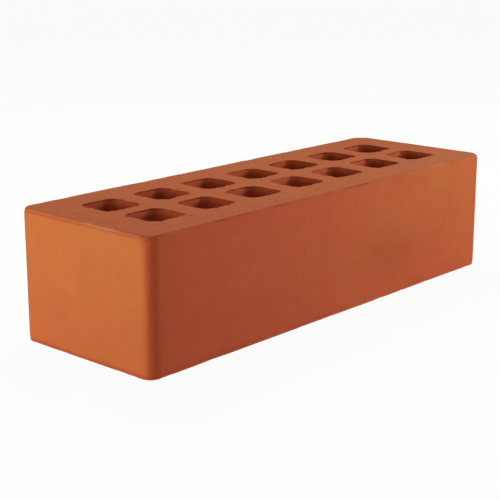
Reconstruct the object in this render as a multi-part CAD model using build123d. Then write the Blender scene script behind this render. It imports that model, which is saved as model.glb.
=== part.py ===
from build123d import *
import os

# Extruded, wire-cut facing brick of fired clay, in millimetres, +Z up.
# The origin is the middle of the lower bed face, and +X runs along the stretcher faces.

# Overall size of the fired brick
LENGTH = 253.0
WIDTH = 84.0
HEIGHT = 63.0

# Walls and webs of the extruded section
END_WALL = 20.5
SIDE_WALL = 17.5
CROSS_WEB = 12.0
CENTRE_WEB = 9.0
CORE_COLUMNS = 7
CORE_ROWS = 2

# Upright corners, rounded by the die and by the core bars
CORNER_RADIUS = 5.5
CORE_CORNER_RADIUS = 4.5

# Edges of the bed faces: arrises rounded over, core rims broken by the wire and by handling
ARRIS_RADIUS = 0.7
RIM_BREAK = 0.5

# The cores take the room that the walls and webs leave
core_length = (LENGTH - 2 * END_WALL - (CORE_COLUMNS - 1) * CROSS_WEB) / CORE_COLUMNS
core_width = (WIDTH - 2 * SIDE_WALL - (CORE_ROWS - 1) * CENTRE_WEB) / CORE_ROWS


def die_section():
    """Section of the clay column as it leaves the die: a rounded outline pierced by rows of cores."""
    outline = RectangleRounded(LENGTH, WIDTH, CORNER_RADIUS)
    core = RectangleRounded(core_length, core_width, CORE_CORNER_RADIUS)
    core_grid = GridLocations(core_length + CROSS_WEB, core_width + CENTRE_WEB, CORE_COLUMNS, CORE_ROWS)
    return outline - core_grid * core


def bed_faces(solid):
    """Lower and upper bed face, the two that the wire cuts."""
    flat_faces = solid.faces().filter_by(Axis.Z).sort_by(Axis.Z)
    return flat_faces[0], flat_faces[-1]


def wire_cut_brick():
    """One cut length of the column, its core rims broken and its arrises rounded over."""
    brick = extrude(die_section(), amount=HEIGHT)
    core_rims = [edge for bed in bed_faces(brick) for wire in bed.inner_wires() for edge in wire.edges()]
    brick = chamfer(core_rims, RIM_BREAK)
    arrises = [edge for bed in bed_faces(brick) for edge in bed.outer_wire().edges()]
    return fillet(arrises, ARRIS_RADIUS)


os.makedirs("parts", exist_ok=True)
export_step(wire_cut_brick(), "parts/brick.step")
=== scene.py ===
import itertools
import math
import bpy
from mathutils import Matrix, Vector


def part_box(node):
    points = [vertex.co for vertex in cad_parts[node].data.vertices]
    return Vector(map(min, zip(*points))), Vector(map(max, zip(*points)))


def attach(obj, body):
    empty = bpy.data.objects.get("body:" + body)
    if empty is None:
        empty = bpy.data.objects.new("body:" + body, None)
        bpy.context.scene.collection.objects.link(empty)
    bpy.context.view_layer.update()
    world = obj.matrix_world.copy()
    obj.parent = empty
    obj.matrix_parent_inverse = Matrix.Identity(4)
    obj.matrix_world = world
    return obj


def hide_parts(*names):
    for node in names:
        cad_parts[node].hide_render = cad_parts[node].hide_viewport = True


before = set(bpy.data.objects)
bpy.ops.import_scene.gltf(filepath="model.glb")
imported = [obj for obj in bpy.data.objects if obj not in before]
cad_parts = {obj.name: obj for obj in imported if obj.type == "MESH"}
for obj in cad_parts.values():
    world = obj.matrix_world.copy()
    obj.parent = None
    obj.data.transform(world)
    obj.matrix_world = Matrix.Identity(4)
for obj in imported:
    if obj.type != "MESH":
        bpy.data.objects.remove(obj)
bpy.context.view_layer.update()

from types import SimpleNamespace

import bmesh
import bpy
from bpy.props import FloatProperty, FloatVectorProperty, IntProperty, PointerProperty
from mathutils import Matrix, Vector, noise

bl_info = {
    "name": "Cored Facing Brick",
    "version": (1, 0, 0),
    "blender": (4, 5, 0),
    "location": "View3D > Sidebar > Brick",
    "description": "Makes a wire-cut facing brick of fired clay with worn cores, and a small studio for it",
    "category": "Object",
}

BRICK_LOW, BRICK_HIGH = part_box("brick")
BRICK_SIZE = BRICK_HIGH - BRICK_LOW

# Mesh points along each side of one core's cell, and how near two points are to be merged
CELL_POINTS_LONG = 36
CELL_POINTS_SHORT = 32
MERGE_DISTANCE = 0.00002

# Mesh rows, as shares of the way round an edge, down a core's mouth, over a bed and down to mid-height
EDGE_ROWS = (0.0, 0.25, 0.5, 0.75, 1.0)
MOUTH_ROWS = (0.0, 0.1, 0.225, 0.35, 0.5, 1.0)
CORE_BED_ROWS = (0.0, 0.3, 0.55, 0.75, 0.9, 1.0)
SKIN_BED_ROWS = (0.0, 0.14, 0.28, 0.42, 0.55, 0.67, 0.78, 0.88, 0.95, 1.0)
CORE_WALL_ROWS = (0.05, 0.09, 0.15, 0.26, 0.52, 1.0)
SKIN_WALL_ROWS = (0.01, 0.02, 0.03, 0.04, 0.055, 0.075, 0.105, 0.15, 0.22, 0.33, 0.48, 0.68, 1.0)

# What each point of the mesh keeps for the finish
MASKS = ("bed", "header", "core", "cross", "deep", "corner", "arris", "dust", "lip", "rim", "torn")

# How far the wire dragged each core's back rim, from the near header on: front row, then back row
RIM_DRAG = ((0.8, 0.6, 1.0, 0.1, 0.6, 1.0, 0.4), (0.9, 0.7, 0.4, 0.3, 0.9, 0.6, 0.6))
# How pale the cores' back walls are made by painted light: front row, then back row
BACK_WALL_PAINTED_LIGHT = (0.16, 0.07)
# Middle and half length, along the brick, of each painted shadow under its front edge
FRONT_PAINTED_SHADOWS = ((-0.119, 0.004), (-0.076, 0.011), (-0.043, 0.006), (0.0165, 0.009))
# Middle and half length, across the brick, of the dust on its near header's upper edge
HEADER_DUST = (-0.012, 0.010)
# Middle and reach of the dark smudge on its front stretcher
SMUDGE_MIDDLE = (0.042, -0.042, 0.024)
SMUDGE_REACH = (0.034, 0.010, 0.024)

# Smooth unevenness: wavelength along each axis, and seed
FACE_WAVES = ((0.045, 0.045, 0.045), 3.1)
RIDGE_WAVES = ((0.0024, 0.03, 1.0), 5.3)
LIP_WAVES = ((0.02, 0.02, 1.0), 2.3)
# Broken clay: wavelength and seed
ARRIS_CRUMBS = (0.009, 9.9)
# Breaks in the painted shadows under the front edge: wavelength and seed
FRONT_SHADOW_BREAKS = (0.005, 23.0)
RIM_CRUMBS = (0.0034, 7.7)
RAG_CRUMBS = (0.0015, 17.0)
DRAG_CRUMBS = (0.006, 13.0)
# Roughness of all broken clay: fractal increment, lacunarity and octaves
CRUMB_FRACTAL = (0.7, 2.1, 4)

# Shares: least wear of an arris, mean depth under a lip, mean strength and darkness of a painted shadow under
# the front edge
ARRIS_LEAST = 0.3
LIP_MEAN = 0.7
FRONT_SHADOW_MEAN = 0.6
FRONT_SHADOW_DARKNESS = 0.6
# Shares: drag of a core's far rim beside its back rim, pull of its near back corner beside its far front one
FAR_RIM_DRAG = 0.4
NEAR_CORNER_PULL = 0.4

# Depths under a bed at which a mark starts, is full, begins to fade and is gone
LIP_DEPTHS = (0.0004, 0.0010, 0.0014, 0.0024)
FRONT_SHADOW_DEPTHS = (0.0001, 0.0004, 0.0008, 0.0013)
# The groove under a burr is cut into the wall and also given painted shade
GROOVE_DEPTHS = (0.0003, 0.0005, 0.0007, 0.0011)
# Distances at which a mark is nothing and full: into a core, from a header, from a bed, from a rim
# Painted light further into the cores starts and is full at these depths
PAINTED_DEEP_LIGHT_DEPTHS = (0.003, 0.010)
# The corner band and corner turn place painted shade down the upright corners
CORNER_PAINTED_SHADE_BAND = (0.0072, 0.0052)
NEAR_HEADER = (0.0030, 0.0010)
BURR_DEPTH = (0.0008, 0.0003)
BURR_REACH = (0.0030, 0.0)
# Shares of a direction along an axis at which a mark is nothing and full
HEADER_TURN = (0.6, 1.0)
CORNER_PAINTED_SHADE_TURN = (1.0, 0.58)
FRONT_TURN = (0.5, 0.9)
RIM_TURN = (0.3, 0.9)
# Noise at which a rim is not dragged and fully dragged, and at which its crumbled hollows get no painted
# shade and full painted shade
DRAG_NOISE = (-0.6, 0.1)
RIM_PAINTED_SHADE_NOISE = (0.3, 0.55)
# Distances past a stretch's middle, in half lengths, at which a mark is gone and full
STRETCH_FADE = (1.4, 0.7)
# Distances over which the paleness of an arris, its dust and the pitting round a rim fall off
ARRIS_FADE = 0.0010
DUST_FADE = 0.0009
RIM_FADE = 0.003

# Stretches of the brick over which its finish changes, along, across and up it
ALONG = (-0.08, 0.12)
NEAR_END = (-0.127, -0.095)
PAST_END = (-0.085, -0.02)
BACKWARDS = (-0.02, 0.042)
FRONTWARDS = (-0.042, 0.0)
UPWARDS = (0.0, 0.06)
FOOT = (0.0, 0.024)

# Streaks of the die on the walls and of the wire on the beds, per metre along each axis
DIE_STREAKS = (260.0, 260.0, 9.0)
WIRE_STREAKS = (420.0, 22.0, 60.0)
# Pits of the beds: how many to the metre, how far they wander, their edge, clusters and gain at a rim
PITS_PER_METRE = 230.0
PIT_WANDER = (0.002, 0.002, 0.002)
PIT_EDGE = (0.08, 0.24)
PIT_CLUSTERS = (0.47, 0.60)
PIT_RIM_GAIN = 0.12
# Patterns between which a worn edge turns pale and its dust shows
PALE_FLASH = (0.45, 0.62)
PALE_MOTTLE = (0.35, 0.60)
DUSTY_GRAIN = (0.35, 0.55)
# Weights that take the clay from red to orange: the flash, mottle and patch weights are the kiln's flashing,
# and the header, far end and far top weights are painted warm light
HEAT_AND_PAINTED_LIGHT = SimpleNamespace(
    start=0.05,
    # Painted warm light towards the far end and its top
    far_end_painted_light=0.12,
    far_top_painted_light=0.46,
    # Painted warm light on the headers, more so towards their top
    header=0.72,
    header_top_painted_light=0.28,
    bed_corner=0.7,
    flash=0.5,
    mottle=0.3,
    patches=0.55,
)
# Weights that lay one colour over another; the lip, corner, pit and last weights lay painted shade
COVER = SimpleNamespace(
    bed=0.9,
    bed_near_end=-0.35,
    bed_dust=0.04,
    bed_front_dust=0.09,
    core=0.9,
    # The lip and corner weights lay painted shade
    lip=0.5,
    corner=0.85,
    # Painted shade of the upright corners fades towards the far end and the back
    corner_painted_shade_far_end=-0.7,
    corner_painted_shade_back=-0.6,
    arris=0.4,
    dust=0.9,
    # Weights that lay painted shade in pit bottoms, grooves, crumbled rims and under the front edge
    pits=0.6,
    torn=0.9,
)
# Weights that make the clay lighter or darker; the corner, lip, bed far end, core wall past-end, stretcher
# end and foot weights are painted light and shade
TONE = SimpleNamespace(
    mean=0.87,
    mottle=0.10,
    grain=0.16,
    # The corner and lip weights darken with painted shade
    corner=-0.04,
    lip=-0.10,
    bed_grain=0.25,
    bed_drag=0.22,
    bed_patches=0.12,
    # Painted shade on the beds towards the far end and its back
    bed_painted_shade_far_end=-0.08,
    bed_painted_shade_far_back=-0.10,
    # Painted shade on the cross walls and painted light on the long walls, past the near end
    cross_painted_shade_past_end=-0.16,
    cross_painted_shade_far_end=-0.05,
    long_painted_light_past_end=0.14,
    long_back=-0.17,
    stretcher=0.05,
    # Painted shade at the stretchers' near end, painted light at their far end and foot
    stretcher_painted_shade_near_end=-0.08,
    stretcher_painted_light_far_end=0.02,
    stretcher_painted_light_foot=0.02,
    smudge=-0.11,
    wall_streaks=0.05,
    wall_patches=0.06,
    # Painted light along the foot of every wall
    wall_painted_light_foot=0.07,
)
# Weights of the fine relief, then its strength and depth
RELIEF = SimpleNamespace(grain=0.5, streaks=0.35, drag=0.9, pits=-1.5, strength=0.35, depth=0.0004)
# Roughness of the clay, what its grain adds, and its sheen
CLAY_ROUGHNESS = 0.82
GRAIN_ROUGHNESS = 0.12
CLAY_SHEEN = 0.08

# Studio: what the lamps aim at, then the place and width of each
LAMP_AIM = (0.0, 0.0, 0.03)
LAMPS = {
    "key": ((-0.50, 0.060, 0.068), 0.24),
    "fill": ((0.196, -0.439, 0.168), 0.22),
    "side": ((0.795, -0.352, 0.440), 0.18),
    "back": ((0.229, 0.397, 0.685), 0.4),
}
# Floor's matt colour, plain white, and how far in under the brick's sides the floor turns wholly matt
FLOOR_COLOUR = (0.85, 0.85, 0.85, 1.0)
PLAIN_WHITE = (1.0, 1.0, 1.0, 1.0)
CONTACT_SHADE = 0.012

# Limits of colours and of shares in the panel
SHARE_LIMITS = {"min": 0.0, "max": 1.0}


def length_property(name, description, metres):
    return FloatProperty(name=name, description=description, default=metres, unit="LENGTH", precision=5)


def angle_property(name, description, degrees):
    return FloatProperty(name=name, description=description, default=math.radians(degrees), unit="ROTATION")


def power_property(name, description, watts):
    return FloatProperty(name=name, description=description, default=watts, unit="POWER")


def share_property(name, description, share):
    return FloatProperty(name=name, description=description, default=share, subtype="FACTOR", **SHARE_LIMITS)


def colour_property(name, description, colour):
    settings = {"default": colour, "subtype": "COLOR", **SHARE_LIMITS}
    return FloatVectorProperty(name=name, description=description, **settings)


class BrickForm(bpy.types.PropertyGroup):
    """Sizes of the brick's section and of its softened edges"""

    length: length_property("Length", "Along the stretcher faces", BRICK_SIZE.x)
    width: length_property("Width", "Between the stretcher faces", BRICK_SIZE.y)
    height: length_property("Height", "Between the bed faces", BRICK_SIZE.z)
    corner_radius: length_property("Corner radius", "Rounding of the upright corners", 0.0055)
    arris_radius: length_property("Arris radius", "Rounding round the bed faces", 0.0007)
    core_side: length_property("Core side", "Side of the square cores", 0.020)
    core_corner_radius: length_property("Core corner radius", "Rounding of the cores' corners", 0.0045)
    rim_break: length_property("Rim break", "How far a core's worn mouth goes back from its wall", 0.0005)
    rim_drop: length_property("Rim drop", "How far a core's worn mouth goes down its wall", 0.0020)
    column_pitch: length_property("Column pitch", "From core to core along the brick", 0.032)
    row_pitch: length_property("Row pitch", "From core to core across the brick", 0.029)
    columns: IntProperty(name="Columns", description="Cores along the brick", default=7, min=1)
    rows: IntProperty(name="Rows", description="Cores across the brick", default=2, min=1)


class BrickWear(bpy.types.PropertyGroup):
    """Depths of what the cutting wire, drying and handling did to the clay"""

    waviness: length_property("Waviness", "Slow unevenness of every face", 0.00018)
    wire_ridges: length_property("Wire ridges", "Height of the wire's ridges on the beds", 0.00007)
    rim_wear: length_property("Rim wear", "Depth of the crumbled core rims", 0.0006)
    rim_reach: length_property("Rim reach", "How far the crumbling goes from a rim", 0.0016)
    rag: length_property("Rag", "How far a torn rim wanders in and out", 0.00045)
    tip_wear: length_property("Tip wear", "How far two corners of a core's mouth are pulled out", 0.0005)
    tip_reach: length_property("Tip reach", "How far from a rim its corners are pulled out", 0.0032)
    burr: length_property("Burr", "Overhang that the wire pulls over a rim", 0.0007)
    tear: length_property("Tear", "Depth of the torn groove under a burr", 0.0005)
    arris_wear: length_property("Arris wear", "Depth of the worn outer edges", 0.0003)
    arris_reach: length_property("Arris reach", "How far the wear goes from an outer edge", 0.0030)
    corner_wear: length_property("Corner wear", "Depth of the worn tops of the upright corners", 0.00055)
    corner_reach: length_property("Corner reach", "How far that wear goes from a corner's top", 0.0032)
    lip: length_property("Lip", "How far the pulled lip stands out along the outer edges", 0.00025)


class ClayColours(bpy.types.PropertyGroup):
    """Colours of the fired clay, linear; some carry painted light and shade, as noted at each"""

    # Header and stretcher are partly the clay's own colours and partly painted light: warm orange on the lit
    # headers, redder on the shaded stretchers
    header: colour_property("Header", "Orange of the header faces", (0.485, 0.140, 0.036))
    stretcher: colour_property("Stretcher", "Red of the stretcher faces", (0.475, 0.0895, 0.0375))
    bed: colour_property("Bed", "Brown of the wire-cut beds", (0.430, 0.112, 0.0365))
    core: colour_property("Core", "Red of the core walls near the beds", (0.510, 0.095, 0.028))
    # Painted light: a browner, paler colour further into the cores and on their back walls
    deep: colour_property("Painted deep light", "Brown of the core walls further in", (0.450, 0.185, 0.112))
    dust: colour_property("Dust", "Pale dust along worn edges", (0.520, 0.230, 0.120))
    # Painted shade: the dark red of the line under the headers' lip and of the band down the upright corners
    lip: colour_property("Lip", "Red of the pulled lips and upright corners", (0.455, 0.069, 0.023))
    # Painted shade: dark colour laid in pit bottoms, in grooves under burrs, in crumbled rim hollows and
    # under the front edge
    torn: colour_property("Painted shade", "Dark bottoms of pits and torn clay", (0.185, 0.022, 0.006))


class Studio(bpy.types.PropertyGroup):
    """Camera, lamps and floor"""

    azimuth: angle_property("Azimuth", "Camera's turn from the front stretcher", -47.97)
    elevation: angle_property("Elevation", "Camera's height above the horizon", 14.91)
    distance: length_property("Distance", "From the aim point to the camera", 0.6296)
    aim: FloatVectorProperty(
        name="Aim",
        description="Point that the camera looks at",
        default=(-0.0091, 0.0078, 0.0257),
        subtype="XYZ",
        unit="LENGTH",
    )
    lens: FloatProperty(
        name="Lens",
        description="Focal length on a 36 mm wide sensor, in millimetres",
        default=89.39,
        unit="CAMERA",
    )
    key_power: power_property("Key power", "Low lamp in front of the near header", 1.47)
    fill_power: power_property("Fill power", "Low lamp in front of the front stretcher", 0.66)
    side_power: power_property("Side power", "Lamp past the far end, grazing the front stretcher", 3.60)
    back_power: power_property("Back power", "High lamp behind the brick", 3.85)
    ambient: share_property("Ambient", "Even light from all round", 0.16)
    floor_size: length_property("Floor size", "Side of the floor", 20.0)
    floor_glow: share_property("Floor glow", "Share of plain white in the floor as the camera sees it", 0.95)


def smoothstep(nothing, full, value):
    """0 to 1, eased, as the value goes from nothing to full."""
    share = min(max((value - nothing) / (full - nothing), 0.0), 1.0)
    return share * share * (3.0 - 2.0 * share)


def band(start, full, fading, gone, value):
    """1 between full and fading, and 0 before the start and once gone."""
    return smoothstep(start, full, value) * smoothstep(gone, fading, value)


def fall_off(gap, reach):
    """1 at an edge, falling off to 0 at its reach."""
    return max(1.0 - gap / reach, 0.0) ** 2


def nearness(value, middle, half_length):
    """1 along a stretch, fading to 0 past its ends."""
    return smoothstep(*STRETCH_FADE, abs(value - middle) / half_length)


def seed_shift(seed):
    """Where in the noise a seed starts."""
    return Vector((seed, 2.0 * seed, 3.0 * seed))


def ripple(point, wavelengths, seed):
    """Smooth noise from about -1 to 1, with its own wavelength along each axis."""
    spot = Vector([place / step for place, step in zip(point, wavelengths)])
    return noise.noise(spot + seed_shift(seed))


def crumble(point, wavelength, seed):
    """Rough noise from about -1 to 1 for broken clay."""
    return noise.fractal(point / wavelength + seed_shift(seed), *CRUMB_FRACTAL)


class RoundedOutline:
    """Rounded rectangle in plan, walked side by side with the same number of points on opposite sides."""

    def __init__(self, long_side, short_side, radius, long_points, short_points):
        self.halves = (long_side / 2.0, short_side / 2.0)
        self.radius = radius
        self.counts = (long_points, short_points, long_points, short_points)

    @property
    def points(self):
        return sum(self.counts)

    def past_straights(self, x, y):
        """How far a plan point lies past the straight runs of the sides, along both axes."""
        return abs(x) - self.halves[0] + self.radius, abs(y) - self.halves[1] + self.radius

    def distance(self, x, y):
        """How far a plan point lies outside the outline; negative inside."""
        beside, behind = self.past_straights(x, y)
        return math.hypot(max(beside, 0.0), max(behind, 0.0)) + min(max(beside, behind), 0.0) - self.radius

    def outward(self, x, y):
        """Plan direction away from the outline's nearest side or corner."""
        beside, behind = self.past_straights(x, y)
        if min(beside, behind) <= 0.0:
            beside, behind = float(beside > behind), float(behind >= beside)
        return Vector((math.copysign(beside, x), math.copysign(behind, y))).normalized()

    def spot(self, number, grown=0.0):
        """Plan point of that number, with the outline grown outwards by so much."""
        side = 0
        while number >= self.counts[side]:
            number -= self.counts[side]
            side += 1
        half_run = self.halves[side % 2] + grown
        half_depth = self.halves[1 - side % 2] + grown
        radius = max(self.radius + grown, 0.0)
        straight = half_run - radius
        half_path = straight + radius * math.pi / 4.0
        along = (2.0 * number / self.counts[side] - 1.0) * half_path
        past = abs(along) - straight
        spot = Vector((along, -half_depth))
        if past > 0.0 and radius > 0.0:
            angle = past / radius
            spot.x = math.copysign(straight + radius * math.sin(angle), along)
            spot.y = -half_depth + radius * (1.0 - math.cos(angle))
        return Matrix.Rotation(side * math.pi / 2.0, 2) @ spot


class BrickPlan:
    """Where the cores and the outer faces lie."""

    def __init__(self, form):
        self.form = form
        self.counts = (form.columns, form.rows)
        self.pitches = (form.column_pitch, form.row_pitch)
        cell_points = (CELL_POINTS_LONG, CELL_POINTS_SHORT)
        field = [count * pitch for count, pitch in zip(self.counts, self.pitches)]
        field_points = [count * points for count, points in zip(self.counts, cell_points)]
        self.cell = RoundedOutline(*self.pitches, 0.0, *cell_points)
        self.core = RoundedOutline(form.core_side, form.core_side, form.core_corner_radius, *cell_points)
        self.field = RoundedOutline(*field, 0.0, *field_points)
        self.skin = RoundedOutline(form.length, form.width, form.corner_radius, *field_points)

    def core_place(self, *numbers):
        """Middle of the core in that column and row."""
        grid = zip(numbers, self.counts, self.pitches)
        return Vector([(number - (count - 1) / 2.0) * pitch for number, count, pitch in grid])

    def nearest_core(self, point):
        """Column and row of the core nearest to a point."""
        grid = zip(point, self.counts, self.pitches)
        numbers = [round(place / pitch + (count - 1) / 2.0) for place, count, pitch in grid]
        return [min(max(number, 0), count - 1) for number, count in zip(numbers, self.counts)]


def extrude_ring(bm, edges):
    """Extrudes a closed ring of edges and gives the new ring's vertices and edges."""
    made = bmesh.ops.extrude_edge_only(bm, edges=edges)["geom"]
    verts = [item for item in made if isinstance(item, bmesh.types.BMVert)]
    fresh = set(verts)
    ring = [item for item in made if isinstance(item, bmesh.types.BMEdge) and fresh.issuperset(item.verts)]
    return verts, ring


def make_sleeve(bm, numbers, border, wall, stations):
    """Carries a ring of points through stations of (share of the way to the wall, wall's growth, height)."""
    verts = bmesh.ops.create_circle(bm, segments=border.points, radius=1.0)["verts"]
    for number, vert in enumerate(verts):
        vert[numbers] = number
    ring = list({edge for vert in verts for edge in vert.link_edges})
    sleeve = []
    for place, (share, grown, height) in enumerate(stations):
        if place:
            verts, ring = extrude_ring(bm, ring)
        for vert in verts:
            number = vert[numbers]
            vert.co = border.spot(number).lerp(wall.spot(number, grown), share).to_3d()
            vert.co.z = height
        sleeve += verts
    return sleeve


def rounded_edge(radius):
    """Rows of (growth, drop) round an outer edge, from the bed to the wall."""
    angles = [math.pi / 2.0 * share for share in EDGE_ROWS]
    return [(-radius * (1.0 - math.sin(angle)), radius * (1.0 - math.cos(angle))) for angle in angles]


def worn_mouth(back, down):
    """Rows of (growth, drop) down a core's worn mouth, curving from the bed into the wall."""
    return [(back * (0.5 + 0.5 * math.cos(math.pi * share)), down * share) for share in MOUTH_ROWS]


def sleeve_stations(height, edge, bed_rows, wall_rows):
    """Stations of a sleeve over a bed face, round its edge and down the wall to mid-height."""
    bed_growth = edge[0][0]
    wall_top = height - edge[-1][1]
    stations = [(share, bed_growth, height) for share in bed_rows]
    stations += [(1.0, grown, height - drop) for grown, drop in edge[1:]]
    stations += [(1.0, 0.0, wall_top * (1.0 - share) + height / 2.0 * share) for share in wall_rows]
    return stations


def make_plain_brick(bm, plan):
    """Upper half from sleeves round every core and one round the outside, then mirrored and closed."""
    form = plan.form
    numbers = bm.verts.layers.int.new("number")
    mouth = worn_mouth(form.rim_break, form.rim_drop)
    core_stations = sleeve_stations(form.height, mouth, CORE_BED_ROWS, CORE_WALL_ROWS)
    for core in itertools.product(range(form.columns), range(form.rows)):
        sleeve = make_sleeve(bm, numbers, plan.cell, plan.core, core_stations)
        bmesh.ops.translate(bm, verts=sleeve, vec=plan.core_place(*core).to_3d())
    arris = rounded_edge(form.arris_radius)
    skin_stations = sleeve_stations(form.height, arris, SKIN_BED_ROWS, SKIN_WALL_ROWS)
    make_sleeve(bm, numbers, plan.field, plan.skin, skin_stations)
    bmesh.ops.remove_doubles(bm, verts=bm.verts, dist=MERGE_DISTANCE)
    half = bm.verts[:] + bm.edges[:] + bm.faces[:]
    middle = Matrix.Translation((0.0, 0.0, -form.height / 2.0))
    bmesh.ops.mirror(bm, geom=half, matrix=middle, merge_dist=MERGE_DISTANCE, axis="Z")
    bmesh.ops.recalc_face_normals(bm, faces=bm.faces)
    bm.verts.layers.int.remove(bm.verts.layers.int["number"])


class WornPoint:
    """Point of the plain brick: where it lies, how wear moves it and what the finish needs to know of it."""

    def __init__(self, plan, vert):
        self.place = vert.co.copy()
        self.normal = vert.normal.copy()
        self.column, self.row = plan.nearest_core(self.place)
        in_plan = self.place.to_2d()
        beside = in_plan - plan.core_place(self.column, self.row)
        self.core_side = plan.core.outward(*beside).to_3d()
        self.skin_side = plan.skin.outward(*in_plan).to_3d()
        self.from_core = max(plan.core.distance(*beside), 0.0)
        self.from_skin = max(-plan.skin.distance(*in_plan), 0.0)
        self.from_bed = min(self.place.z, plan.form.height - self.place.z)
        self.upper = float(self.place.z > plan.form.height / 2.0)
        self.bed = self.normal.z ** 2
        self.wall = 1.0 - self.bed
        self.marks = dict.fromkeys(MASKS, 0.0)
        self.marks["bed"] = self.bed
        self.move = Vector()

    def sink(self, depth):
        """Moves the point into the clay."""
        self.move -= self.normal * depth


def roughen_face(spot, wear):
    """Slow waves of every face, and the ridges that the wire dragged over the beds."""
    spot.sink(wear.waviness * (0.5 + 0.5 * ripple(spot.place, *FACE_WAVES)))
    spot.sink(wear.wire_ridges * spot.bed * (0.5 + 0.5 * ripple(spot.place, *RIDGE_WAVES)))


def mark_core_wall(spot):
    """Which way a core's wall faces, and how far in it lies, with painted light further in and on the back
    walls.
    """
    back_wall_light = BACK_WALL_PAINTED_LIGHT[spot.row % len(BACK_WALL_PAINTED_LIGHT)] * smoothstep(*RIM_TURN, spot.core_side.y)
    spot.marks["core"] = spot.wall
    spot.marks["cross"] = abs(spot.core_side.x) * spot.wall
    # Painted light further into the core and on its back wall
    spot.marks["deep"] = max(smoothstep(*PAINTED_DEEP_LIGHT_DEPTHS, spot.from_bed), back_wall_light) * spot.wall


def mark_outer_face(spot, form):
    """Which outer face a point lies on, and whether it is on the rounding of an upright corner, where painted
    shade goes.
    """
    turned = abs(spot.normal.x)
    from_end = form.length / 2.0 - abs(spot.place.x)
    spot.marks["header"] = smoothstep(*HEADER_TURN, turned)
    # Painted shade: a dark red band down the rounding of the upright corners
    spot.marks["corner"] = smoothstep(*CORNER_PAINTED_SHADE_BAND, from_end) * smoothstep(*CORNER_PAINTED_SHADE_TURN, turned) * spot.wall


def wear_outer_edge(spot, form, wear):
    """Worn arrises and corner tops, with pale edges and a dusty stretch of the near header's."""
    gap = math.hypot(spot.from_skin, spot.from_bed)
    crumbs = ARRIS_LEAST + max(crumble(spot.place, *ARRIS_CRUMBS), 0.0)
    spot.sink(wear.arris_wear * fall_off(gap, wear.arris_reach) * crumbs)
    corner = 2.0 * abs(spot.skin_side.x * spot.skin_side.y)
    worn_top = wear.corner_wear * corner * spot.upper * fall_off(gap, wear.corner_reach)
    spot.move -= (spot.skin_side + Vector((0.0, 0.0, 1.0))).normalized() * worn_top
    near_header = smoothstep(*NEAR_HEADER, spot.place.x + form.length / 2.0)
    dusty = spot.upper * near_header * nearness(spot.place.y, *HEADER_DUST)
    spot.marks["arris"] = math.exp(-gap / ARRIS_FADE)
    spot.marks["dust"] = dusty * math.exp(-gap / DUST_FADE)


def pull_outer_lip(spot, wear):
    """Lip that the wire pulled along the outer edges, with a painted shadow line under it on the headers and
    broken painted shadows under the front one.
    """
    under_lip = band(*LIP_DEPTHS, spot.from_bed)
    spot.sink(wear.lip * under_lip * (LIP_MEAN + ripple(spot.place, *LIP_WAVES)))
    # Painted shadow: a dark red line under the lip on the headers
    spot.marks["lip"] = under_lip * spot.marks["header"]
    # Painted shadow: broken dark dashes just under the front edge, laid in colour only
    in_front = spot.upper * smoothstep(*FRONT_TURN, -spot.normal.y)
    stretch = max(nearness(spot.place.x, *tear) for tear in FRONT_PAINTED_SHADOWS)
    torn = min(max(stretch * (FRONT_SHADOW_MEAN + crumble(spot.place, *FRONT_SHADOW_BREAKS)), 0.0), 1.0)
    spot.marks["torn"] = FRONT_SHADOW_DARKNESS * in_front * band(*FRONT_SHADOW_DEPTHS, spot.from_bed) * torn


def rim_drag(spot):
    """How far the wire dragged a core's rim at this point: the back rims above, the front rims below."""
    across = spot.core_side.y if spot.upper else -spot.core_side.y
    dragged = smoothstep(*RIM_TURN, across) + FAR_RIM_DRAG * smoothstep(*RIM_TURN, spot.core_side.x)
    drags = RIM_DRAG[spot.row % len(RIM_DRAG)]
    whole = smoothstep(*DRAG_NOISE, crumble(spot.place, *DRAG_CRUMBS))
    return dragged * drags[spot.column % len(drags)] * whole


def wear_core_rim(spot, form, wear):
    """Crumbled, ragged rim of a core, pulled out at two corners, with burrs over grooves ripped into the
    wall, and painted shade in those grooves and in the most crumbled hollows.
    """
    beyond_rim = max(spot.from_core - form.rim_break, 0.0)
    gap = math.hypot(beyond_rim, spot.from_bed)
    spot.marks["rim"] = spot.bed * math.exp(-beyond_rim / RIM_FADE)
    if gap >= wear.tip_reach:
        return
    away = spot.core_side
    near_rim = fall_off(gap, wear.rim_reach)
    rough = crumble(spot.place, *RIM_CRUMBS)
    spot.sink(wear.rim_wear * near_rim * max(rough, 0.0))
    spot.move += away * wear.rag * near_rim * crumble(spot.place, *RAG_CRUMBS)
    pulled = max(-2.0 * away.x * away.y, 0.0) * (1.0 if away.x > 0.0 else NEAR_CORNER_PULL)
    spot.move += away * wear.tip_wear * pulled * (1.0 - gap / wear.tip_reach)
    dragged = rim_drag(spot)
    burr = smoothstep(*BURR_DEPTH, spot.from_bed) * smoothstep(*BURR_REACH, beyond_rim)
    groove = band(*GROOVE_DEPTHS, spot.from_bed)
    spot.move += away * dragged * (wear.tear * groove - wear.burr * burr)
    # Painted shade: dark colour in the groove under a dragged burr and in the most crumbled hollows of the
    # rim
    spot.marks["torn"] = max(groove * dragged, near_rim * smoothstep(*RIM_PAINTED_SHADE_NOISE, rough))


def weather_brick(bm, plan, wear):
    """Moves each point as the wire and wear did, and keeps what the finish needs to know about it."""
    masks = {name: bm.verts.layers.float.new(name) for name in MASKS}
    bm.normal_update()
    for vert in bm.verts:
        spot = WornPoint(plan, vert)
        roughen_face(spot, wear)
        if spot.from_core < spot.from_skin:
            mark_core_wall(spot)
        else:
            mark_outer_face(spot, plan.form)
            wear_outer_edge(spot, plan.form, wear)
            pull_outer_lip(spot, wear)
        wear_core_rim(spot, plan.form, wear)
        vert.co = spot.place + spot.move
        for name, mark in spot.marks.items():
            vert[masks[name]] = mark


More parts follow.
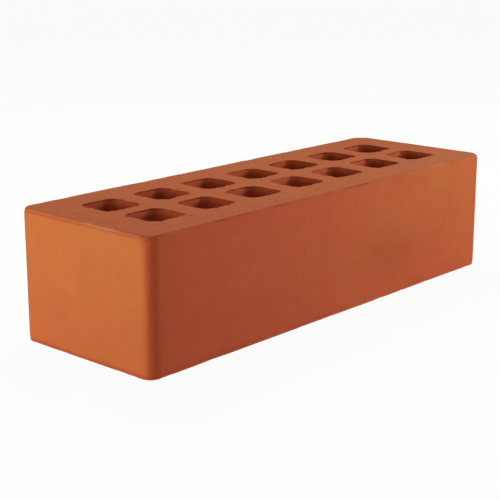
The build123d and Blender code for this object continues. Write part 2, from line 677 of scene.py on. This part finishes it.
class Value:
    """A shader socket in a sum: each operator on it adds a Math node."""

    def __init__(self, graph, socket):
        self.graph = graph
        self.socket = socket

    def math(self, operation, *others):
        return self.graph.math(operation, self, *others)

    def __add__(self, other):
        return self.math("ADD", other)

    __radd__ = __add__

    def __sub__(self, other):
        return self.math("SUBTRACT", other)

    def __rsub__(self, other):
        return self.graph.math("SUBTRACT", other, self)

    def __mul__(self, other):
        return self.math("MULTIPLY", other)

    __rmul__ = __mul__

    def clamped(self):
        return self.graph.add("ShaderNodeClamp", {}, {"Value": self})

    def swing(self, strength):
        """A pattern from 0 to 1 as a swing to both sides of nothing."""
        return strength * (self - 0.5)


class Graph:
    """Node tree of a material or a world, emptied and ready for new nodes."""

    def __init__(self, owner):
        owner.use_nodes = True
        self.tree = owner.node_tree
        self.tree.nodes.clear()

    def add(self, kind, settings, inputs, output=0):
        """Adds a node: its settings first, then the values or links of its sockets."""
        node = self.tree.nodes.new(kind)
        for name, setting in settings.items():
            setattr(node, name, setting)
        for name, value in inputs.items():
            if isinstance(value, Value):
                self.tree.links.new(value.socket, node.inputs[name])
            else:
                node.inputs[name].default_value = value
        return Value(self, node.outputs[output]) if node.outputs else None

    def math(self, operation, *operands):
        return self.add("ShaderNodeMath", {"operation": operation}, dict(enumerate(operands)))

    def attribute(self, name):
        return self.add("ShaderNodeAttribute", {"attribute_name": name}, {}, "Fac")

    def place(self, stretch=(1.0, 1.0, 1.0)):
        """Object coordinates in metres, stretched along each axis."""
        spot = self.add("ShaderNodeTexCoord", {}, {}, "Object")
        return self.vector("MULTIPLY", spot, stretch)

    def vector(self, operation, first, second):
        return self.add("ShaderNodeVectorMath", {"operation": operation}, {0: first, 1: second})

    def length(self, spot):
        return self.add("ShaderNodeVectorMath", {"operation": "LENGTH"}, {0: spot}, "Value")

    def axis(self, spot, name):
        return self.add("ShaderNodeSeparateXYZ", {}, {"Vector": spot}, name)

    def pick(self, share, first, second):
        """Number that goes from the first to the second as the share goes from 0 to 1."""
        return first + share * (second - first)

    def noise(self, spot, scale, detail, roughness=0.5, output="Fac"):
        inputs = {"Vector": spot, "Scale": scale, "Detail": detail, "Roughness": roughness}
        return self.add("ShaderNodeTexNoise", {}, inputs, output)

    def fade(self, value, low, high):
        """0 below low, 1 above high, smooth between."""
        settings = {"interpolation_type": "SMOOTHSTEP"}
        return self.add("ShaderNodeMapRange", settings, {"Value": value, "From Min": low, "From Max": high})

    def mix(self, share, first, second, blend="MIX"):
        """Colour mix; colours are given as three numbers or as a Value."""
        settings = {"data_type": "RGBA", "blend_type": blend}
        colours = [shade if isinstance(shade, Value) else (*shade, 1.0) for shade in (first, second)]
        return self.add("ShaderNodeMix", settings, {0: share, 6: colours[0], 7: colours[1]}, 2)


def clay_places(graph):
    """Where a point lies on the brick, each as a share from 0 to 1."""
    spot = graph.place()
    x, y, z = (graph.axis(spot, name) for name in "XYZ")
    from_smudge = graph.vector("DIVIDE", graph.vector("SUBTRACT", spot, SMUDGE_MIDDLE), SMUDGE_REACH)
    return SimpleNamespace(
        along=graph.fade(x, *ALONG),
        near_end=1.0 - graph.fade(x, *NEAR_END),
        past_end=graph.fade(x, *PAST_END),
        backwards=graph.fade(y, *BACKWARDS),
        frontwards=1.0 - graph.fade(y, *FRONTWARDS),
        upwards=graph.fade(z, *UPWARDS),
        foot=1.0 - graph.fade(z, *FOOT),
        smudge=1.0 - graph.fade(graph.length(from_smudge), 0.0, 1.0),
    )


def clay_marks(graph, at):
    """What the mesh keeps about each point; the painted shade down the upright corners fades towards the far
    end and the back.
    """
    on = SimpleNamespace(**{name: graph.attribute(name) for name in MASKS})
    on.corner *= 1.0 + COVER.corner_painted_shade_far_end * at.along
    on.corner *= 1.0 + COVER.corner_painted_shade_back * at.backwards
    return on


def bed_pits(graph, spot, on):
    """Clusters of small ragged pits in the beds, more of them round the core rims."""
    swirl = graph.noise(spot, scale=700.0, detail=2.0, output="Color")
    wandering = graph.vector("ADD", spot, graph.vector("MULTIPLY", swirl, PIT_WANDER))
    cells = {"Vector": wandering, "Scale": PITS_PER_METRE, "Randomness": 1.0}
    from_pit = graph.add("ShaderNodeTexVoronoi", {}, cells, "Distance")
    clusters = graph.noise(spot, scale=75.0, detail=1.0) + PIT_RIM_GAIN * on.rim
    return (1.0 - graph.fade(from_pit, *PIT_EDGE)) * graph.fade(clusters, *PIT_CLUSTERS) * on.bed


def clay_patterns(graph, on):
    """Patterns of the finish, from slow kiln flashing to fine grain, streaks and pits."""
    spot = graph.place()
    return SimpleNamespace(
        flash=graph.noise(spot, scale=11.0, detail=2.0),
        mottle=graph.noise(spot, scale=60.0, detail=4.0, roughness=0.6),
        patches=graph.noise(spot, scale=140.0, detail=3.0, roughness=0.6),
        grain=graph.noise(spot, scale=900.0, detail=3.0, roughness=0.7),
        streaks=graph.noise(graph.place(DIE_STREAKS), scale=1.0, detail=3.0),
        drag=graph.noise(graph.place(WIRE_STREAKS), scale=1.0, detail=4.0, roughness=0.6),
        pits=bed_pits(graph, spot, on),
    )


def kiln_heat_and_painted_light(graph, at, on, pattern):
    """How far the clay goes from red to orange: kiln flashing in patches, and painted warm light that makes
    the headers and the far upper end most orange.
    """
    heat_and_painted_light = HEAT_AND_PAINTED_LIGHT.start + at.along * (HEAT_AND_PAINTED_LIGHT.far_end_painted_light + HEAT_AND_PAINTED_LIGHT.far_top_painted_light * at.upwards)
    heat_and_painted_light += pattern.flash.swing(HEAT_AND_PAINTED_LIGHT.flash) + pattern.mottle.swing(HEAT_AND_PAINTED_LIGHT.mottle)
    heat_and_painted_light = graph.pick(on.header, heat_and_painted_light, HEAT_AND_PAINTED_LIGHT.header + HEAT_AND_PAINTED_LIGHT.header_top_painted_light * at.upwards)
    heat_and_painted_light += pattern.patches.swing(HEAT_AND_PAINTED_LIGHT.patches) + HEAT_AND_PAINTED_LIGHT.bed_corner * on.bed * at.near_end * at.backwards
    return heat_and_painted_light.clamped()


def clay_shade(graph, colours, at, on, pattern):
    """Colour of the clay on each face, with its lips, dusty edges, pits and tears, and painted shade under
    its lips, down its upright corners, in pits and grooves and under the front edge.
    """
    bed_dust = COVER.bed_dust + COVER.bed_front_dust * at.frontwards
    pale_patches = graph.fade(pattern.flash, *PALE_FLASH) * graph.fade(pattern.mottle, *PALE_MOTTLE)
    dusty_grains = graph.fade(pattern.grain, *DUSTY_GRAIN)
    edge_dust = COVER.arris * on.arris * pale_patches + COVER.dust * on.dust * dusty_grains
    shade = graph.mix(kiln_heat_and_painted_light(graph, at, on, pattern), colours.stretcher, colours.header)
    shade = graph.mix(on.bed * (COVER.bed + COVER.bed_near_end * at.near_end), shade, colours.bed)
    shade = graph.mix(on.bed * at.along * bed_dust, shade, colours.dust)
    shade = graph.mix(COVER.core * on.core, shade, colours.core)
    shade = graph.mix(on.deep, shade, colours.deep)
    shade = graph.mix((COVER.lip * on.lip + COVER.corner * on.corner).clamped(), shade, colours.lip)
    shade = graph.mix(edge_dust.clamped(), shade, colours.dust)
    # Painted shade in pit bottoms, in grooves under burrs, in crumbled rim hollows and under the front edge
    return graph.mix((COVER.pits * pattern.pits + COVER.torn * on.torn).clamped(), shade, colours.torn)


def bed_tone(at, on, pattern):
    """Sandy beds, streaked by the wire, and darker towards the far end and its back with painted shade."""
    tone = pattern.grain.swing(TONE.bed_grain) + pattern.drag.swing(TONE.bed_drag)
    tone += pattern.patches.swing(TONE.bed_patches)
    tone += at.along * (TONE.bed_painted_shade_far_end + TONE.bed_painted_shade_far_back * at.along * at.backwards)
    return on.bed * tone


def core_wall_tone_and_painted_light(at, on):
    """Core walls: past the near end the cross walls darken with painted shade and the long ones lighten with
    painted light, less so at the back.
    """
    cross = TONE.cross_painted_shade_past_end * at.past_end + TONE.cross_painted_shade_far_end * at.along
    long = TONE.long_painted_light_past_end * at.past_end + TONE.long_back * at.backwards
    return on.cross * cross + (on.core - on.cross) * long


def stretcher_tone_and_painted_light(at, on):
    """Stretchers, darker at the near end with painted shade, lighter at the far end and the foot with painted
    light, and darker at the smudge.
    """
    tone = TONE.stretcher + TONE.stretcher_painted_shade_near_end * at.near_end + TONE.stretcher_painted_light_far_end * at.along
    tone += TONE.stretcher_painted_light_foot * at.foot + TONE.smudge * at.smudge
    return (1.0 - on.bed) * (1.0 - on.header) * (1.0 - on.core) * tone


def clay_tone(at, on, pattern):
    """How light or dark the clay is on each face; all walls have die streaks and a foot lightened with
    painted light.
    """
    tone = TONE.mean + TONE.mottle * pattern.mottle + TONE.grain * pattern.grain
    tone += TONE.corner * on.corner + TONE.lip * on.lip
    wall = pattern.streaks.swing(TONE.wall_streaks) + pattern.patches.swing(TONE.wall_patches)
    tone += (1.0 - on.bed) * (wall + TONE.wall_painted_light_foot * at.foot)
    return tone + bed_tone(at, on, pattern) + core_wall_tone_and_painted_light(at, on) + stretcher_tone_and_painted_light(at, on)


def clay_relief(graph, on, pattern):
    """Fine relief: grain everywhere, die streaks on the walls, wire streaks and pits on the beds."""
    streaks = RELIEF.streaks * pattern.streaks * (1.0 - on.bed) + RELIEF.drag * pattern.drag * on.bed
    height = RELIEF.grain * pattern.grain + streaks + RELIEF.pits * pattern.pits
    inputs = {"Height": height, "Strength": RELIEF.strength, "Distance": RELIEF.depth}
    return graph.add("ShaderNodeBump", {}, inputs)


def fired_clay(colours):
    """Unglazed fired clay: kiln flashing, sandy grain, die streaks, wire marks, pits and dusty worn edges,
    with painted light and shade on its faces, corners, lips, pits, grooves and core walls.
    """
    material = bpy.data.materials.new("fired_clay")
    graph = Graph(material)
    at = clay_places(graph)
    on = clay_marks(graph, at)
    pattern = clay_patterns(graph, on)
    shade = clay_shade(graph, colours, at, on, pattern)
    tone = clay_tone(at, on, pattern)
    grey = graph.add("ShaderNodeCombineColor", {}, {"Red": tone, "Green": tone, "Blue": tone})
    surface = {
        "Base Color": graph.mix(1.0, shade, grey, "MULTIPLY"),
        "Roughness": CLAY_ROUGHNESS + GRAIN_ROUGHNESS * pattern.grain,
        "Specular IOR Level": CLAY_SHEEN,
        "Normal": clay_relief(graph, on, pattern),
    }
    shader = graph.add("ShaderNodeBsdfPrincipled", {}, surface)
    graph.add("ShaderNodeOutputMaterial", {}, {"Surface": shader})
    return material


def seen_directly(graph):
    """1 where the camera sees a surface, also mirrored or through glass; 0 where it only gives light."""
    names = ("Is Camera Ray", "Is Glossy Ray", "Is Transmission Ray")
    camera, glossy, transmission = (graph.add("ShaderNodeLightPath", {}, {}, name) for name in names)
    return (camera + glossy + transmission).clamped()


def pale_floor(glow):
    """Matt pale floor, mostly plain white to the camera, so that only a soft shadow shows round the brick."""
    material = bpy.data.materials.new("pale_floor")
    graph = Graph(material)
    spot = graph.place()
    beside = graph.axis(spot, "X").math("ABSOLUTE") - BRICK_SIZE.x / 2.0
    behind = graph.axis(spot, "Y").math("ABSOLUTE") - BRICK_SIZE.y / 2.0
    clear = graph.fade(beside.math("MAXIMUM", behind), -CONTACT_SHADE, 0.0)
    matt = graph.add("ShaderNodeBsdfDiffuse", {}, {"Color": FLOOR_COLOUR})
    white = graph.add("ShaderNodeEmission", {}, {"Color": PLAIN_WHITE, "Strength": 1.0})
    share = seen_directly(graph) * clear * glow
    surface = graph.add("ShaderNodeMixShader", {}, {0: share, 1: matt, 2: white})
    graph.add("ShaderNodeOutputMaterial", {}, {"Surface": surface})
    return material


def white_world(ambient):
    """Even light from all round that looks plain white to the camera."""
    world = bpy.data.worlds.new("white_surround")
    graph = Graph(world)
    strength = ambient + (1.0 - ambient) * seen_directly(graph)
    light = graph.add("ShaderNodeBackground", {}, {"Color": PLAIN_WHITE, "Strength": strength})
    graph.add("ShaderNodeOutputWorld", {}, {"Surface": light})
    return world


def place_object(name, data):
    """New object of that data, in the scene and at the origin."""
    made = bpy.data.objects.new(name, data)
    bpy.context.scene.collection.objects.link(made)
    return made


def mesh_object(name, bm, material):
    """New mesh object of one material, made from a bmesh that is then freed."""
    mesh = bpy.data.meshes.new(name)
    bm.to_mesh(mesh)
    bm.free()
    mesh.materials.append(material)
    return place_object(name, mesh)


def look_along(made, place, backwards):
    """Puts a lamp or a camera at a place, with its back turned along a direction."""
    made.location = place
    made.rotation_mode = "QUATERNION"
    made.rotation_quaternion = backwards.to_track_quat("Z", "Y")


def soft_lamp(name, power, size, place):
    """Round area lamp that the camera doesn't see, turned to the lamps' common aim."""
    lamp = bpy.data.lights.new(name, "AREA")
    lamp.shape = "DISK"
    lamp.size = size
    lamp.energy = power
    made = place_object(name, lamp)
    made.visible_camera = False
    look_along(made, place, Vector(place) - Vector(LAMP_AIM))


def studio_camera(studio):
    """Camera at the studio's distance from its aim point, turned and raised by its angles."""
    camera = place_object("camera", bpy.data.cameras.new("camera"))
    camera.data.lens = studio.lens
    turn = Matrix.Rotation(studio.azimuth, 3, "Z") @ Matrix.Rotation(-studio.elevation, 3, "X")
    back = turn @ Vector((0.0, -1.0, 0.0))
    look_along(camera, Vector(studio.aim) + back * studio.distance, back)
    return camera


class FACING_BRICK_OT_body(bpy.types.Operator):
    """Makes the fired brick with its cores, worn edges and finish"""

    bl_idname = "facing_brick.body"
    bl_label = "Make brick"

    def execute(self, context):
        scene = context.scene
        plan = BrickPlan(scene.brick_form)
        bm = bmesh.new()
        make_plain_brick(bm, plan)
        weather_brick(bm, plan, scene.brick_wear)
        for face in bm.faces:
            face.smooth = True
        body = mesh_object("brick_body", bm, fired_clay(scene.clay_colours))
        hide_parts("brick")
        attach(body, "root")
        return {"FINISHED"}


class FACING_BRICK_OT_stage(bpy.types.Operator):
    """Lays the floor, hangs the lamps and sets up the camera"""

    bl_idname = "facing_brick.stage"
    bl_label = "Set the stage"

    def execute(self, context):
        scene = context.scene
        studio = scene.brick_studio
        bm = bmesh.new()
        bmesh.ops.create_grid(bm, x_segments=1, y_segments=1, size=studio.floor_size / 2.0)
        mesh_object("floor", bm, pale_floor(studio.floor_glow))
        scene.world = white_world(studio.ambient)
        for name, (place, size) in LAMPS.items():
            soft_lamp(f"{name}_lamp", getattr(studio, f"{name}_power"), size, place)
        scene.camera = studio_camera(studio)
        scene.view_settings.view_transform = "Standard"
        return {"FINISHED"}


class FACING_BRICK_PT_panel(bpy.types.Panel):
    """Sidebar panel with the brick's sizes, wear, colours and studio"""

    bl_idname = "FACING_BRICK_PT_panel"
    bl_label = "Facing brick"
    bl_space_type = "VIEW_3D"
    bl_region_type = "UI"
    bl_category = "Brick"

    def draw(self, context):
        for name in SETTINGS:
            settings = getattr(context.scene, name)
            box = self.layout.box()
            for key in settings.bl_rna.properties.keys():
                if key not in ("rna_type", "name"):
                    box.prop(settings, key)
        for operator in OPERATORS:
            self.layout.operator(operator.bl_idname)


SETTINGS = {
    "brick_form": BrickForm,
    "brick_wear": BrickWear,
    "clay_colours": ClayColours,
    "brick_studio": Studio,
}
OPERATORS = (FACING_BRICK_OT_body, FACING_BRICK_OT_stage)
CLASSES = (*SETTINGS.values(), *OPERATORS, FACING_BRICK_PT_panel)


def register():
    for kind in CLASSES:
        bpy.utils.register_class(kind)
    for name, kind in SETTINGS.items():
        setattr(bpy.types.Scene, name, PointerProperty(type=kind))


def unregister():
    for name in SETTINGS:
        delattr(bpy.types.Scene, name)
    for kind in reversed(CLASSES):
        bpy.utils.unregister_class(kind)


def main():
    register()
    bpy.ops.facing_brick.body()
    bpy.ops.facing_brick.stage()


if __name__ == "__main__":
    main()
